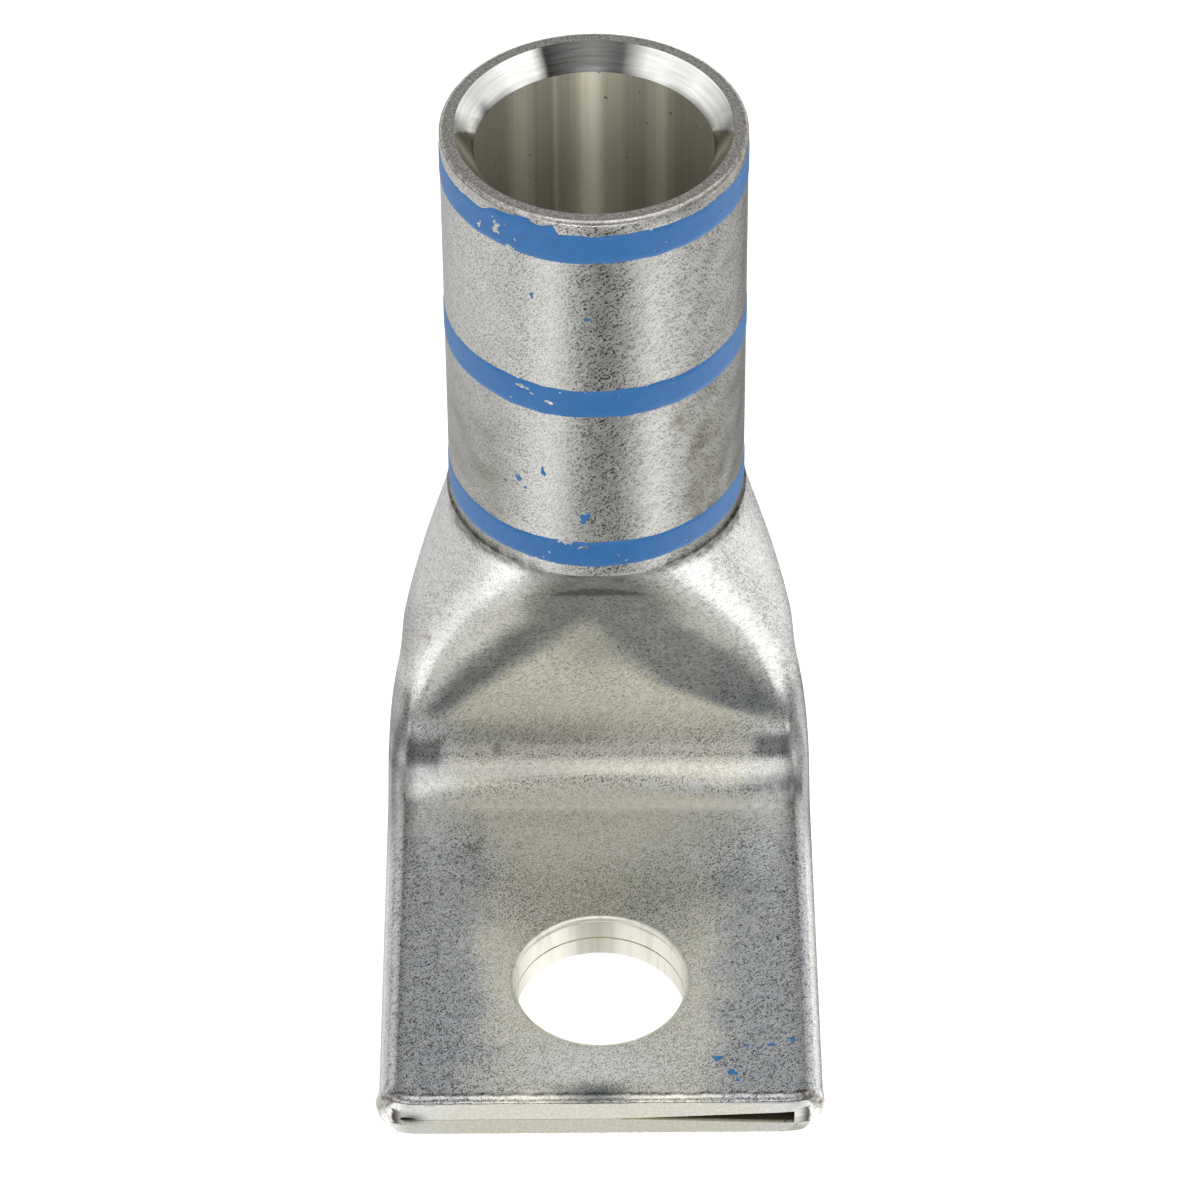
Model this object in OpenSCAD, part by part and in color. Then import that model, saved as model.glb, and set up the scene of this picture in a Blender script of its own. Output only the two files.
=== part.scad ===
// Right-angle compression cable lug, pressed and bent from one length of tinned copper tube.
// Millimetres. The origin is the centre of the stud hole on the underside of the palm.
// The palm lies along Y with its free end at -Y, and the barrel stands up along +Z.

/* [Barrel] */
// Diameter of the bore that takes the stranded conductor
bore_d = 19.3; // [16:0.1:22]
// Wall of the tube
tube_wall = 2.75; // [2.4:0.05:3.4]
// Length of the round barrel, from its mouth to the crease of the shoulder
barrel_len = 37.4; // [25:0.2:70]
// Width of the flat ring left round the countersink at the mouth
lip_w = 1.2; // [0.8:0.1:1.6]
// Depth of the countersink that leads the strands in
countersink_depth = 2; // [1:0.1:4]
// Rounding of the outer edge of the mouth
rim_r = 0.35; // [0.1:0.05:0.6]

/* [Shoulder] */
// Length of the flattened ramp, from the barrel to the neck
ramp_len = 24.6; // [18:0.2:36]
// Angle to the neck at which the hollow ramp runs out
ramp_exit_angle = 8.5; // [2:0.5:12]
// How far the shoulder stands proud of the barrel at each side
shoulder_step = 0.2; // [0.1:0.05:0.5]
// How far each side of the shoulder stays within the width that would keep the tube's girth
shoulder_tuck = 0.45; // [0:0.05:0.8]
// Length of the flat neck between the ramp and the bend
neck_len = 0.6; // [0.6:0.2:12]

/* [Palm] */
// Width of the palm over its folded edges
palm_w = 36.9; // [34:0.1:40]
// Thickness of the palm, which is two pressed layers
palm_t = 4.6; // [3.8:0.1:5.2]
// Inner radius of the right-angle bend
bend_r = 5.6; // [3:0.1:10]
// Distance from the stud hole's centre to the start of the bend
hole_to_bend = 21.2; // [12:0.2:34]
// Distance from the stud hole's centre to the free end
hole_to_end = 13.5; // [11:0.5:20]
// How far the flats are coined below the round of the folds
coin_depth = 0.15; // [0.05:0.01:0.3]
// Rounding of the free end's upper and lower edges
end_edge_r = 0.35; // [0.1:0.05:0.6]
// Rounding of the free end's two corners, seen from above
end_corner_r = 1.1; // [0.3:0.1:1.5]

/* [Stud hole] */
// Diameter of the punched hole for a half-inch stud
stud_hole_d = 14.3; // [8:0.1:17]
// Rounding of the hole's two edges
stud_hole_edge_r = 0.3; // [0.1:0.05:0.5]

/* [Seam between the layers] */
// Gap where the two layers lie closed on each other
seam_gap = 0.16; // [0.12:0.02:0.3]
// Diameter of the hollow that stays open inside each fold
fold_hollow_d = 1.2; // [0.8:0.1:1.6]
// Wall between that hollow and the outside of the fold
fold_wall = 1.2; // [1:0.1:2]
// Length over which a fold's hollow narrows to the closed seam
fold_hollow_lead = 1.4; // [0.6:0.1:3]
// Height to which the layers gape at the right of the free end
gape_h = 1.2; // [0.3:0.1:1.2]
// Width of that gape
gape_w = 14.4; // [6:0.2:20]
// Depth over which the gape closes again
gape_depth = 9; // [4:0.5:20]

/* [Colour bands] */
// Width of each printed band
band_w = 2.8; // [1:0.1:6]
// Bare metal between the mouth and the first band
band_mouth_margin = 1.35; // [0.8:0.05:4]
// Bare metal between the last band and the crease of the shoulder
band_base_margin = 1.1; // [0.5:0.05:4]
// Thickness of the ink
ink_t = 0.06; // [0.03:0.01:0.12]

/* [Hidden] */

// Radii of the tube
bore_r = bore_d / 2;
barrel_r = bore_r + tube_wall;
lip_r = barrel_r - lip_w;

// Section of the palm: flats between two folds whose round is cut off by the coined flats
half_t = palm_t / 2;
fold_r = half_t + coin_depth;
fold_x = palm_w / 2 - fold_r;
layer_t = (palm_t - seam_gap) / 2;
fold_hollow_r = fold_hollow_d / 2;
fold_hollow_x = palm_w / 2 - fold_wall - fold_hollow_r;

// Where the stretches of the tube meet
bend_z = palm_t + bend_r;
neck_top = bend_z + neck_len;
barrel_base = neck_top + ramp_len;
mouth_z = barrel_base + barrel_len;
barrel_y = hole_to_bend + bend_r + half_t;

// Side view of the ramp: one hollow arc from the neck up to the crease
ramp_drop = barrel_r - half_t;
ramp_chord_angle = atan(ramp_drop / ramp_len);
ramp_half_arc = ramp_chord_angle - ramp_exit_angle;
ramp_r = norm([ramp_len, ramp_drop]) / (2 * sin(ramp_half_arc));
ramp_rings = 20;
fold_steps = 28;
hollow_steps = 14;

// Small laps by which one stretch is let into the next, so that no two skins coincide
crease = 0.08;
shoulder_lap = 0.12;
plug_len = 0.6;
plug_in = 0.45;
root_len = 0.3;
root_in = 0.02;
cut = 1;

// The bands are spaced evenly between the two margins
band_pitch = (barrel_len - band_mouth_margin - band_base_margin - band_w) / 2;

$fn = 128;

// The flattening runs from 0 on the round tube to 1 on the palm.
// Half the thickness falls from the tube's radius to half the palm's thickness.
function half_depth(flattening) = barrel_r - crease - (ramp_drop - crease) * flattening;

// The flats grow in step with the fall in thickness, which keeps the girth of the tube,
// less a tuck that sets in soon after the crease and is gone again at the neck.
function flat_half(flattening) =
    let (start = shoulder_step + crease)
    start + (fold_x - start) * flattening
        - shoulder_tuck * (1 - pow(1 - flattening, 8) - pow(flattening, 32));

// The coining of the flats only sets in towards the neck.
function fold_radius(flattening) = half_depth(flattening) + coin_depth * pow(flattening, 8);

// The wall thins from the tube's to that of one pressed layer, and more at the sides, out to the folds.
function wall_at(flattening) = tube_wall + (layer_t - tube_wall) * flattening;
function side_wall_at(flattening) = tube_wall + (fold_wall - tube_wall) * flattening;

// Height above the neck, and flattening, at a share of the ramp's arc from the neck (0) to the crease (1)
function ramp_angle(share) = ramp_exit_angle + 2 * ramp_half_arc * share;
function ramp_height(share) = ramp_r * (sin(ramp_angle(share)) - sin(ramp_exit_angle));
function ramp_flattening(share) =
    1 - ramp_r * (cos(ramp_exit_angle) - cos(ramp_angle(share))) / ramp_drop;

// Outside of the tube as a ring of points: two fold arcs, cut off at the flats, and the flats between them
function outer_ring(flattening, z, inset = 0) =
    let (
        h = half_depth(flattening) - inset,
        r = fold_radius(flattening) - inset,
        x = flat_half(flattening),
        open = asin(min(1, h / r))
    )
    [for (side = [0, 180], i = [0:fold_steps])
        let (angle = side - open + 2 * open * i / fold_steps)
        [(side == 0 ? x : -x) + r * cos(angle), r * sin(angle), z]];

// Inside of the tube: the same form less the wall, but the hollow in each fold keeps a least radius
function inner_ring(flattening, z, inset = 0, least_r = fold_hollow_r) =
    let (
        h = half_depth(flattening) - wall_at(flattening) - inset,
        r = max(h, least_r - inset),
        x = flat_half(flattening) + fold_radius(flattening) - side_wall_at(flattening) - inset - r,
        lead = min(x / 2, fold_hollow_lead)
    )
    [for (side = [1, -1])
        each concat(
            [for (i = [0:hollow_steps])
                let (angle = 180 * i / hollow_steps - 90)
                [side * (x + r * cos(angle)), side * r * sin(angle), z]],
            [[side * (x - lead), side * h, z], [-side * (x - lead), side * h, z]]
        )];

// Closed skin over a stack of rings that have the same number of points, from the lowest up.
// The two ends are fans about one point of their ring, which start picks on a round stretch.
module skin(rings, start) {
    n = len(rings[0]);
    top = len(rings) - 1;
    polyhedron(
        points = [for (ring = rings) each ring],
        faces = [
            [for (i = [0:n - 1]) (start + i) % n],
            [for (i = [0:n - 1]) top * n + (start + n - i) % n],
            for (j = [0:top - 1], i = [0:n - 1])
                let (a = j * n + i, b = j * n + (i + 1) % n)
                each [[a, a + n, b + n], [a, b + n, b]]
        ]
    );
}

// Prism along Z that takes the corner at its own edge away and leaves a round
module edge_cutter(r, length) {
    linear_extrude(height = length, center = true)
        difference() {
            translate([-cut, -cut])
                square(r + cut);
            translate([r, r])
                circle(r = r);
        }
}

// Round barrel as a revolved wall, with the rounded rim
module barrel_blank() {
    translate([0, barrel_y, barrel_base])
        rotate_extrude()
            difference() {
                square([barrel_r, barrel_len]);
                translate([barrel_r, barrel_len])
                    rotate(180)
                        difference() {
                            translate([-cut, -cut])
                                square(rim_r + cut);
                            translate([rim_r, rim_r])
                                circle(r = rim_r);
                        }
            }
}

// Flattened shoulder: a loft from the round tube to the two-layer section
module shoulder() {
    translate([0, barrel_y, 0])
        skin([
            outer_ring(1, neck_top - root_len, root_in),
            outer_ring(1, neck_top, root_in),
            for (k = [1:ramp_rings])
                let (share = k / ramp_rings)
                outer_ring(
                    ramp_flattening(share),
                    neck_top + ramp_height(share) * (ramp_len + shoulder_lap) / ramp_len
                ),
            outer_ring(0, barrel_base + plug_len, plug_in)
        ], fold_steps / 2);
}

// Outline of the pressed palm, neck and bend, across the lug
module palm_section() {
    intersection() {
        square([palm_w, palm_t], center = true);
        union() {
            square([2 * fold_x, palm_t], center = true);
            for (side = [-1, 1])
                translate([side * fold_x, 0])
                    circle(r = fold_r);
        }
    }
}

// Closed seam with the small drop-shaped hollow in each fold
module seam_section() {
    square([2 * fold_hollow_x, seam_gap], center = true);
    for (side = [-1, 1])
        translate([side * fold_hollow_x, 0]) {
            circle(r = fold_hollow_r);
            polygon([
                [0, fold_hollow_r],
                [-side * fold_hollow_lead, seam_gap / 2],
                [-side * fold_hollow_lead, -seam_gap / 2],
                [0, -fold_hollow_r]
            ]);
        }
}

// Carries a section from the free end along the palm, round the bend and up the neck
module along_palm(end_overrun = 0, neck_overrun = 0) {
    translate([0, hole_to_bend, half_t])
        rotate([90, 0, 0])
            linear_extrude(height = hole_to_bend + hole_to_end + end_overrun)
                children();
    translate([0, hole_to_bend, bend_z])
        rotate([0, 90, 0])
            rotate_extrude(angle = 90)
                translate([bend_r + half_t, 0])
                    rotate(90)
                        children();
    translate([0, barrel_y, bend_z])
        linear_extrude(height = neck_len + neck_overrun)
            children();
}

// Rounded edges and corners of the free end
module end_rounding() {
    for (upper = [0, 1])
        translate([0, -hole_to_end, upper * palm_t])
            rotate([0, 90, 0])
                rotate(upper == 1 ? 0 : 90)
                    edge_cutter(end_edge_r, palm_w + 2 * cut);
    for (side = [-1, 1])
        translate([side * palm_w / 2, -hole_to_end, half_t])
            rotate(side == 1 ? 90 : 0)
                edge_cutter(end_corner_r, palm_t + 2 * cut);
}

// Bore with its countersink
module bore() {
    translate([0, barrel_y, barrel_base])
        cylinder(r = bore_r, h = barrel_len + cut);
    translate([0, barrel_y, mouth_z - countersink_depth])
        rotate_extrude()
            polygon([
                [0, 0],
                [bore_r, 0],
                [lip_r, countersink_depth],
                [lip_r, countersink_depth + cut],
                [0, countersink_depth + cut]
            ]);
}

// Inside of the shoulder, which carries the bore on down to the closed seam
module shoulder_hollow() {
    translate([0, barrel_y, 0])
        skin([
            inner_ring(1, neck_top - root_len, root_in, 0),
            inner_ring(1, neck_top, root_in),
            for (k = [1:ramp_rings])
                let (share = k / ramp_rings)
                inner_ring(ramp_flattening(share), neck_top + ramp_height(share) - shoulder_lap * share),
            inner_ring(0, barrel_base + plug_len, plug_in)
        ], hollow_steps / 2);
}

// Wedge by which the two layers gape at the right of the free end
module gape() {
    reach = gape_depth + cut;
    half = gape_h / 2 * reach / gape_depth;
    back = -hole_to_end - cut;
    translate([fold_hollow_x, back, half_t])
        polyhedron(
            points = [
                [-gape_w * reach / gape_depth, 0, 0],
                [0, 0, half],
                [0, 0, -half],
                [0, reach, 0]
            ],
            faces = [[0, 1, 2], [1, 3, 2], [0, 3, 1], [0, 2, 3]]
        );
}

// Punched stud hole whose edges roll over into the faces of the palm
module stud_hole() {
    hole_r = stud_hole_d / 2;
    edge_r = stud_hole_edge_r;
    rotate_extrude() {
        translate([0, -cut])
            square([hole_r, palm_t + 2 * cut]);
        for (upper = [0, 1])
            translate([0, upper * palm_t])
                mirror([0, upper])
                    difference() {
                        translate([0, -cut])
                            square([hole_r + edge_r, edge_r + cut]);
                        translate([hole_r + edge_r, edge_r])
                            circle(r = edge_r);
                    }
    }
}

// The whole lug, one piece of tube
module lug_body() {
    color([0.76, 0.75, 0.72])
        difference() {
            union() {
                barrel_blank();
                shoulder();
                along_palm()
                    palm_section();
            }
            bore();
            shoulder_hollow();
            along_palm(cut)
                seam_section();
            gape();
            stud_hole();
            end_rounding();
        }
}

// One band of ink round the barrel, counted from the mouth
module band(index) {
    top = mouth_z - band_mouth_margin - index * band_pitch;
    color([0.18, 0.42, 0.74])
        translate([0, barrel_y, top - band_w])
            difference() {
                cylinder(r = barrel_r + ink_t, h = band_w);
                translate([0, 0, -cut])
                    cylinder(r = barrel_r, h = band_w + 2 * cut);
            }
}

lug_body();
band(0);  // band_mouth
band(1);  // band_middle
band(2);  // band_base
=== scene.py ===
import math

import bpy
import numpy as np
from mathutils import Matrix, Vector


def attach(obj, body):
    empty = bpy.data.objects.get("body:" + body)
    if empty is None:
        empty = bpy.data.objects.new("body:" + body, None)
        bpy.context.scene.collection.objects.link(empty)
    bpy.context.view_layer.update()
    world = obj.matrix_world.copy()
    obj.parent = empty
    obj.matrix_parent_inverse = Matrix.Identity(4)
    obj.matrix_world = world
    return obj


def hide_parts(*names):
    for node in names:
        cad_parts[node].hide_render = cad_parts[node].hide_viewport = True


# Right-angle cable lug, pressed and bent from one tinned copper tube, with three bands of blue marking ink.
# Lengths are in millimetres until a mesh is made. Z runs up through the stud hole and along the barrel.
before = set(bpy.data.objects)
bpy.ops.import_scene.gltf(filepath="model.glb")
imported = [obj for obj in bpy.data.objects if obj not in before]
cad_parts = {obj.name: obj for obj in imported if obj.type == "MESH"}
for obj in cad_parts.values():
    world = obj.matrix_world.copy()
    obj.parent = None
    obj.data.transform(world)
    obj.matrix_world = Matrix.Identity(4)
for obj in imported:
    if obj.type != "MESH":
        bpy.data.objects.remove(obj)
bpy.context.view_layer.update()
print("frame loaded")

mm = 0.001


# A smooth step from 0 to 1 as value goes from low to high: 3t squared less 2t cubed.
def ease(value, low, high):
    t = np.clip((value - low) / (high - low), 0, 1)
    return t * t * (3 - 2 * t)


# A bell: 1 at the middle, and e to the minus square of the distance over the spread away from it
def bell(value, middle, spread):
    return np.exp(-((value - middle) / spread) ** 2)


# Soft wandering noise between about -1 and 1: a scaled sum of sine waves in random directions, whose
# lengths lie between 0.7 and 1.6 times the wavelength
def wander(points, wavelength, seed, waves=9):
    draw = np.random.default_rng(seed)
    directions = draw.normal(size=(waves, 3))
    directions /= np.linalg.norm(directions, axis=1, keepdims=True)
    lengths = wavelength * draw.uniform(0.7, 1.6, waves)
    phases = draw.uniform(0, 2 * np.pi, waves)
    angles = points @ (2 * np.pi * directions / lengths[:, None]).T + phases
    return np.sin(angles).sum(-1) / np.sqrt(waves / 2) / 2


# Mesh of a grid closed both ways, whose faces join each point to its neighbours in the next column and row.
# The signed volume tells whether the faces point outwards, and turns them if they don't.
def gridMesh(name, points):
    rows, columns = points.shape[:2]
    number = np.arange(rows * columns).reshape(rows, columns)
    right = np.roll(number, -1, 1)
    quads = np.stack([number, right, np.roll(right, -1, 0), np.roll(number, -1, 0)], -1).reshape(-1, 4)
    flat = points.reshape(-1, 3) * mm
    a, b, c, d = (flat[quads[:, k]] for k in range(4))
    volume = (np.cross(b - a, c - a) * a).sum() + (np.cross(c - a, d - a) * a).sum()
    if volume < 0:
        quads = quads[:, ::-1]
    mesh = bpy.data.meshes.new(name)
    mesh.from_pydata(flat.tolist(), [], quads.tolist())
    mesh.validate()
    mesh.update()
    return mesh


def addPiece(name, mesh):
    piece = bpy.data.objects.new(name, mesh)
    bpy.context.scene.collection.objects.link(piece)
    return piece


# sRGB hex colour as linear RGBA
def linear(hexColour):
    parts = [int(hexColour[k:k + 2], 16) / 255 for k in (1, 3, 5)]
    return [p / 12.92 if p <= 0.04045 else ((p + 0.055) / 1.055) ** 2.4 for p in parts] + [1]


# Adds one node with its settings and links. An input is a value, an output, or a node whose first output
# feeds it.
def addNode(tree, kind, inputs=None, **settings):
    node = tree.nodes.new(kind)
    for key, value in settings.items():
        setattr(node, key, value)
    for key, value in (inputs or {}).items():
        if isinstance(value, bpy.types.Node):
            value = next(output for output in value.outputs if output.enabled)
        if isinstance(value, bpy.types.NodeSocket):
            tree.links.new(value, node.inputs[key])
        else:
            node.inputs[key].default_value = value
    return node


# The lug, in the order in which the section runs: barrel, shoulder, neck, bend, palm, then back inside.
lug = {
    "boreR": 9.65,
    "tubeWall": 2.75,
    "barrelLen": 37.4,
    "lipWidth": 1.2,
    "countersinkDepth": 2.0,
    "rimR": 0.35,
    "rampLen": 24.6,
    "rampExit": math.radians(8.5),
    "shoulderStart": 0.28,  # half width of the flat at the crease
    "shoulderTuck": 0.45,
    "neckPinch": 0.36,
    "crease": 0.08,  # step in from the barrel to the ramp
    "neckLen": 0.6,
    "palmWidth": 36.9,
    "palmThick": 4.6,
    "bendR": 5.6,
    "holeToBend": 21.2,
    "holeToEnd": 13.5,
    "coin": 0.15,  # how much rounder the folds are than the flats are deep
    "endEdgeR": 0.5,
    "cornerR": 1.1,
    "endFlare": 0.3,
    "rightFlareShare": 0.4,
    "domeFrom": 15.0,
    "domeDepth": 0.9,
    "upperEdgeWave": 0.06,
    "ridge": 0.09,
    "chatterLen": 1.3,
    "chatterSlant": 0.8,
    "gapeHalf": 0.68,
    "gapeFrom": 1.0,
    "gapeTo": 15.8,
    "gapeDepth": 9.0,
    "gapeDrop": 0.12,
    "gapeDrawIn": 1.25,
    "hairline": 0.05,
    "holeR": 7.15,
    "holeRoll": 0.45,
    "holeColumns": 160,
    "seamHalf": 0.08,
    "hollowR": 0.6,
    "hollowLead": 1.4,  # run from the hollow down to the seam
    "hollowPinch": 0.55,
    "hollowShift": 0.6,
    "foldWall": 1.2,
    "foldColumns": 18,
    "flatColumns": 60,
}
barrelR = lug["boreR"] + lug["tubeWall"]
halfThick = lug["palmThick"] / 2
foldR = halfThick + lug["coin"]
halfWide = lug["palmWidth"] / 2
foldX = halfWide - foldR
layerThick = halfThick - lug["seamHalf"]
hollowX = halfWide - lug["foldWall"] - lug["hollowR"]
bendZ = lug["palmThick"] + lug["bendR"]
neckTop = bendZ + lug["neckLen"]
barrelBase = neckTop + lug["rampLen"]
mouthZ = barrelBase + lug["barrelLen"]
barrelY = lug["holeToBend"] + lug["bendR"] + halfThick
bendMid = lug["bendR"] + halfThick
endY = -lug["holeToEnd"]


# Outside of a quarter section, from the fold's outermost point to the middle of the flat, at shares of its
# length: an ellipse with half axes reach and fold, cut off at the half depth, then a straight line.
def outerQuarter(share, half, reach, fold, depth):
    opening = np.arcsin(np.clip(depth / fold, -1, 1))
    arc = np.sqrt((reach ** 2 + fold ** 2) / 2) * opening
    flat = half - reach
    edge = flat + reach * np.cos(opening)
    run = share * (arc + edge)
    onArc = run < arc
    angle = np.minimum(run / arc, 1) * opening
    x = np.where(onArc, flat + reach * np.cos(angle), edge - (run - arc))
    return x, np.where(onArc, fold * np.sin(angle), depth)


# Inside of a quarter section: the hollow's arc about x = centre, then an eased run over lead to the seam.
def innerQuarter(share, centre, hollow, seam, lead):
    arc = hollow * np.pi / 2
    run = share * (arc + centre)
    onArc = run < arc
    x = np.where(onArc, centre + hollow * np.cos(run / hollow), centre - (run - arc))
    fall = ease(centre - x, 0, lead)
    return x, np.where(onArc, hollow * np.sin(run / hollow), hollow + (seam - hollow) * fall)


# Shares where a quarter's columns lie: close over the fold, two beside the coined edge to keep it crisp,
# then even over the flat.
foldShare = foldR * math.asin(halfThick / foldR)
foldShare /= foldShare + foldX + foldR * math.cos(math.asin(halfThick / foldR))
crisp = 0.0016
quarterShares = np.concatenate([
    np.linspace(0, foldShare - crisp, lug["foldColumns"], endpoint=False),
    [foldShare - crisp, foldShare + crisp],
    np.linspace(foldShare + crisp, 1, lug["flatColumns"] + 1)[1:-1],
])
columnShare = np.concatenate([quarterShares, [1], quarterShares[:0:-1]])
columnShare = np.concatenate([columnShare, columnShare])
perSide = len(columnShare) // 2
quarterLen = len(quarterShares)
columnIndex = np.arange(len(columnShare))
sideX = np.where((columnIndex <= quarterLen) | (columnIndex >= 3 * quarterLen), 1, -1)
sideN = np.where(columnIndex <= perSide, 1, -1)


# Rows of stations: the centre line's y and z, the direction across the tube's thickness, and the lengths
# that give the section there. Each is one number or an array.
def stations(*values):
    return np.stack(np.broadcast_arrays(*[np.atleast_1d(np.asarray(v, float)) for v in values]), -1)


# Points of rows of stations: the quarter section mirrored to all four quarters, set across the centre line.
def sweep(table, quarter, *extra):
    y, z, normalY, normalZ, *lengths = (table[:, k:k + 1] for k in range(table.shape[1]))
    x, n = quarter(columnShare[None, :], *lengths, *extra)
    x = x * sideX
    n = n * sideN
    return np.stack([x, y + n * normalY, z + n * normalZ], -1)


# The ramp's side view is one hollow arc, from its exit angle at the neck to a steeper one at the crease.
# Flattening goes from 0 at the crease to 1 at the neck in step with the fall in thickness.
drop = barrelR - halfThick
halfArc = math.atan(drop / lug["rampLen"]) - lug["rampExit"]
rampR = math.hypot(drop, lug["rampLen"]) / (2 * math.sin(halfArc))


def rampAt(share):
    angle = lug["rampExit"] + 2 * halfArc * share
    height = neckTop + rampR * (np.sin(angle) - math.sin(lug["rampExit"]))
    flattening = np.clip(1 - rampR * (math.cos(lug["rampExit"]) - np.cos(angle)) / drop, 0, 1)
    return height, flattening


def depthAt(flattening):
    return barrelR - lug["crease"] - (drop - lug["crease"]) * flattening


def foldAt(flattening):
    return depthAt(flattening) + lug["coin"] * flattening ** 8


# The flat's half width, less the tuck that the pressing takes in and a little more just above the neck
def halfAt(flattening):
    tuck = lug["shoulderTuck"] * (1 - (1 - flattening) ** 8 - flattening ** 32)
    pinch = lug["neckPinch"] * ease(flattening, 0.78, 0.94)
    flat = lug["shoulderStart"] + (foldX - lug["shoulderStart"]) * flattening - tuck - pinch
    return flat + foldAt(flattening)


def reachAt(flattening):
    return np.minimum(foldAt(flattening), halfAt(flattening))


turn = np.radians(np.array([0, 22, 45, 68, 90]))
rimBody = barrelR - lug["rimR"]
rimRadius = rimBody + lug["rimR"] * np.sin(turn)
barrelRows = np.append(np.linspace(mouthZ - lug["rimR"], barrelBase + 0.1, 40)[1:], barrelBase + 0.03)
rampShare = np.concatenate([[1, 0.994], np.linspace(0.985, 0, 56)])
rampZ, flattening = rampAt(rampShare)
bendAngle = np.linspace(np.pi / 2, 0, 27)[1:]
palmRows = np.concatenate([
    lug["holeToBend"] - np.linspace(0, lug["holeToBend"] - endY - 3.4, 54)[1:],
    endY + np.linspace(3.4, 1.2, 8)[1:],
    endY + np.linspace(1.1, lug["endEdgeR"], 6),
])
edgeTurn = np.radians(np.array([12, 25, 38, 52, 66, 78, 90]))
edgeY = endY + lug["endEdgeR"] * (1 - np.sin(edgeTurn))
edgeIn = lug["endEdgeR"] * (1 - np.cos(edgeTurn))


# How far each side draws in over the last of the palm, so that the corners are round seen from above
def cornerIn(y):
    left = np.clip(1 - (y - endY) / lug["cornerR"], 0, 1)
    return lug["cornerR"] * (1 - np.sqrt(1 - left ** 2)) * 0.96


rimZ = mouthZ - lug["rimR"] * (1 - np.cos(turn))
bentY = lug["holeToBend"] + bendMid * np.sin(bendAngle)
bentZ = bendZ - bendMid * np.cos(bendAngle)
bentHalf = halfWide - lug["neckPinch"] * ease(bendAngle, 0.8, np.pi / 2)
palmIn = cornerIn(palmRows)
endIn = cornerIn(edgeY)
outer = np.concatenate([
    stations(barrelY, rimZ, -1, 0, *[rimRadius] * 4),
    stations(barrelY, barrelRows, -1, 0, *[barrelR] * 4),
    stations(barrelY, rampZ - 0.04 * rampShare, -1, 0, halfAt(flattening), reachAt(flattening),
             foldAt(flattening), depthAt(flattening)),
    stations(barrelY, [bendZ + lug["neckLen"] / 2, bendZ], -1, 0, halfWide - lug["neckPinch"],
             foldR, foldR, halfThick),
    stations(bentY, bentZ, -np.sin(bendAngle), np.cos(bendAngle), bentHalf, foldR, foldR, halfThick),
    stations(palmRows, halfThick, 0, 1, halfWide - palmIn, foldR - palmIn, foldR, halfThick),
    stations(edgeY, halfThick, 0, 1, halfWide - endIn, foldR - endIn,
             foldR - 0.55 * edgeIn, halfThick - edgeIn),
])

# Back inside: along the seam, up the hollow of the ramp to the bore, the countersink and the lip.
seamRows = np.concatenate([endY + np.array([0, 0.15, 0.4, 0.8]), endY + np.linspace(1.4, 9.5, 14),
                           np.linspace(-3, lug["holeToBend"], 9)])
insideAngle = np.linspace(0, np.pi / 2, 11)[1:]
insideShare = np.linspace(0, 1, 22)
insideZ, insideFlat = rampAt(insideShare)
insideDepth = depthAt(insideFlat) - (lug["tubeWall"] + (layerThick - lug["tubeWall"]) * insideFlat)
insideHollow = np.maximum(insideDepth, lug["hollowR"])
sideWall = lug["tubeWall"] + (lug["foldWall"] - lug["tubeWall"]) * insideFlat
insideX = halfAt(insideFlat) - sideWall - insideHollow
lipR = barrelR - lug["lipWidth"]
countersinkZ = mouthZ - lug["countersinkDepth"]
countersinkRows = countersinkZ + np.array([0, 0.5, 1, 1.5, 2])
boreZ = np.concatenate([np.linspace(barrelBase + 1, countersinkZ - 0.05, 12), countersinkRows])
boreWide = np.where(boreZ < countersinkZ, lug["boreR"],
                    lug["boreR"] + (lipR - lug["boreR"]) * (boreZ - countersinkZ) / lug["countersinkDepth"])
lipRadius = lipR + np.array([0.05, 0.3, 0.6, lug["lipWidth"] - lug["rimR"] - 0.06])
inner = np.concatenate([
    stations(seamRows, halfThick, 0, 1, hollowX, lug["hollowR"], lug["seamHalf"]),
    stations(lug["holeToBend"] + bendMid * np.sin(insideAngle), bendZ - bendMid * np.cos(insideAngle),
             -np.sin(insideAngle), np.cos(insideAngle), hollowX, lug["hollowR"], lug["seamHalf"]),
    stations(barrelY, insideZ, -1, 0, insideX, insideHollow, np.maximum(insideDepth, lug["seamHalf"])),
    stations(barrelY, boreZ, -1, 0, 0, boreWide, boreWide),
    stations(barrelY, mouthZ, -1, 0, 0, lipRadius, lipRadius),
])
outerPoints = sweep(outer, outerQuarter)
innerPoints = sweep(inner, innerQuarter, lug["hollowLead"])

# The ramp runs into the bend without a kink: each point there is drawn to the mean of its neighbours in the
# rows before and after, many times over.
neckRow = len(turn) + len(barrelRows) + len(rampShare)
easing = bell(np.arange(len(outer)), neckRow, 9)[1:-1, None, None] * 0.5
for _ in range(60):
    outerPoints[1:-1] += easing * ((outerPoints[2:] + outerPoints[:-2]) / 2 - outerPoints[1:-1])


# The bending die's chatter over the palm: a wave from -1 to 1 across slanting lines
def chatterAt(x, y):
    return np.sin(2 * np.pi * (x + lug["chatterSlant"] * y) / lug["chatterLen"])


# The edge of the bending die left a low ridge across the palm, and chattered as it went
onTop = np.abs(outerPoints[..., 2] - lug["palmThick"]) < 0.4
ridge = bell(outerPoints[..., 1], lug["holeToBend"] - 0.9, 0.42)
ridge = ridge * (1 - ease(np.abs(outerPoints[..., 0]), 12, 16.5))
chatter = 0.75 + 0.25 * chatterAt(outerPoints[..., 0], outerPoints[..., 1])
outerPoints[..., 2] += lug["ridge"] * ridge * chatter * onTop

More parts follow.
